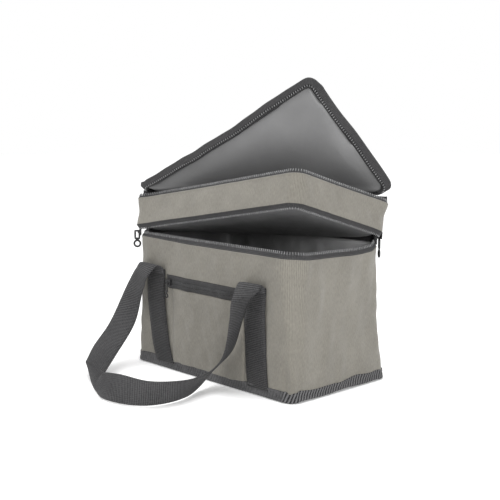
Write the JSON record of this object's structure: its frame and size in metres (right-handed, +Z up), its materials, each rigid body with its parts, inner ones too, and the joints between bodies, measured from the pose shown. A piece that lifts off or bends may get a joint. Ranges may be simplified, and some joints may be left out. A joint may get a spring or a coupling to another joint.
{
  "type": "insulated cooler bag",
  "caption": "Soft insulated lunch cooler with a lower box, a hinged upper tray and a padded lid, both unzipped and folded up at the near corner, with webbing carry handles.",
  "frame": {"origin": "centre of the base, on the floor", "axes": "+Z up, +X to the right along the front face, -Y towards the front (pocket and handle side)"},
  "size_m": [0.3073, 0.4147, 0.3678],
  "materials": {
    "outer_fabric": "matt woven polyester",
    "dark_tape": "matt ribbed tape",
    "webbing": "matt ribbed webbing",
    "lining": "satin coated sheet",
    "foam": "closed-cell foam",
    "zip_teeth": "nylon coil, slightly glossy",
    "black_metal": "satin black"
  },
  "bodies": {
    "lower_box": {"base_panel": "outer_fabric", "base_foam": "foam", "base_binding": "dark_tape", "main_shell": "outer_fabric", "main_foam": "foam", "main_lining": "lining", "main_rim_binding": "dark_tape", "main_zip_tape": "dark_tape", "main_zip_teeth": "zip_teeth", "tray_hinge_strip": "dark_tape", "pocket_panel": "outer_fabric", "pocket_zip_tape": "dark_tape", "pocket_zip_teeth": "zip_teeth", "front_strap_left": "webbing", "front_strap_right": "webbing", "rear_strap_left": "webbing", "rear_strap_right": "webbing", "tray_slider_left": "black_metal", "tray_slider_right": "black_metal"},
    "tray_far": {"tray_far_underside": "lining", "tray_far_floor": "foam", "tray_far_foam": "foam", "tray_far_lining": "lining", "tray_far_shell": "outer_fabric", "tray_far_low_tape": "dark_tape", "tray_far_low_teeth": "zip_teeth", "tray_far_top_tape": "dark_tape", "tray_far_top_teeth": "zip_teeth", "lid_hinge_strip": "dark_tape", "lid_slider": "black_metal"},
    "tray_near": {"tray_near_underside": "lining", "tray_near_floor": "foam", "tray_near_foam": "foam", "tray_near_lining": "lining", "tray_near_shell": "outer_fabric", "tray_near_low_tape": "dark_tape", "tray_near_low_teeth": "zip_teeth", "tray_near_top_tape": "dark_tape", "tray_near_top_teeth": "zip_teeth"},
    "lid_far": {"lid_far_teeth": "zip_teeth", "lid_far_band": "dark_tape", "lid_far_lining": "lining", "lid_far_foam": "foam", "lid_far_top": "outer_fabric"},
    "lid_crease": {"lid_crease_strip": "dark_tape"},
    "lid_near": {"lid_near_teeth": "zip_teeth", "lid_near_band": "dark_tape", "lid_near_lining": "lining", "lid_near_foam": "foam", "lid_near_top": "outer_fabric"},
    "front_handle": {"front_handle_loop": "webbing"},
    "rear_handle": {"rear_handle_loop": "webbing"},
    "pocket_slider": {"pocket_slider": "black_metal"},
    "pocket_pull": {"pocket_pull": "black_metal"},
    "tray_pull_left": {"tray_pull_left": "black_metal"},
    "tray_pull_right": {"tray_pull_right": "black_metal"},
    "lid_pull": {"lid_pull": "black_metal"}
  },
  "joints": [
    {"name": "tray_hinge", "type": "hinge", "parent": "lower_box", "child": "tray_far", "pos_m": [0, 0.088, 0.1785], "axis": [-1, 0, 0], "range_deg": [0, 80]},
    {"name": "tray_corner_fold", "type": "hinge", "parent": "tray_far", "child": "tray_near", "pos_m": [0, 0, 0.1785], "axis": [-0.8625, -0.506, 0], "range_deg": [-19.5, 0]},
    {"name": "lid_hinge", "type": "hinge", "parent": "tray_far", "child": "lid_far", "pos_m": [0, 0.088, 0.2295], "axis": [-1, 0, 0], "range_deg": [0, 110]},
    {"name": "lid_crease_fold", "type": "hinge", "parent": "lid_far", "child": "lid_crease", "pos_m": [-0.00253, 0.00431, 0.2295], "axis": [-0.8625, -0.506, 0], "range_deg": [-19.5, 0]},
    {"name": "lid_corner_fold", "type": "hinge", "parent": "lid_crease", "child": "lid_near", "pos_m": [0.00224, -0.00382, 0.23284], "axis": [-0.8625, -0.506, 0], "range_deg": [-55.5, 15]},
    {"name": "front_handle_swing", "type": "hinge", "parent": "lower_box", "child": "front_handle", "pos_m": [0, -0.091, 0.1435], "axis": [-1, 0, 0], "range_deg": [0, 115]},
    {"name": "rear_handle_swing", "type": "hinge", "parent": "lower_box", "child": "rear_handle", "pos_m": [0, 0.091, 0.1435], "axis": [-1, 0, 0], "range_deg": [-115, 0]},
    {"name": "pocket_slider_run", "type": "slide", "parent": "lower_box", "child": "pocket_slider", "axis": [1, 0, 0], "range_m": [0, 0.131]},
    {"name": "pocket_pull_swing", "type": "hinge", "parent": "pocket_slider", "child": "pocket_pull", "pos_m": [-0.071, -0.0952, 0.1174], "axis": [0, -1, 0], "range_deg": [-60, 60]},
    {"name": "tray_pull_left_swing", "type": "hinge", "parent": "lower_box", "child": "tray_pull_left", "pos_m": [-0.14818, -0.08733, 0.1749], "axis": [-0.6899, -0.7239, 0], "range_deg": [-35, 35]},
    {"name": "tray_pull_right_swing", "type": "hinge", "parent": "lower_box", "child": "tray_pull_right", "pos_m": [0.14632, 0.08537, 0.1749], "axis": [0.7239, -0.6899, 0], "range_deg": [0, 60]},
    {"name": "lid_pull_swing", "type": "hinge", "parent": "tray_far", "child": "lid_pull", "pos_m": [-0.1556, -0.042, 0.2277], "axis": [-1, 0, 0], "range_deg": [-60, 60]}
  ],
  "couplings": [
    {"joint": "lid_crease_fold", "follows": "tray_corner_fold", "ratio": 1}
  ]
}
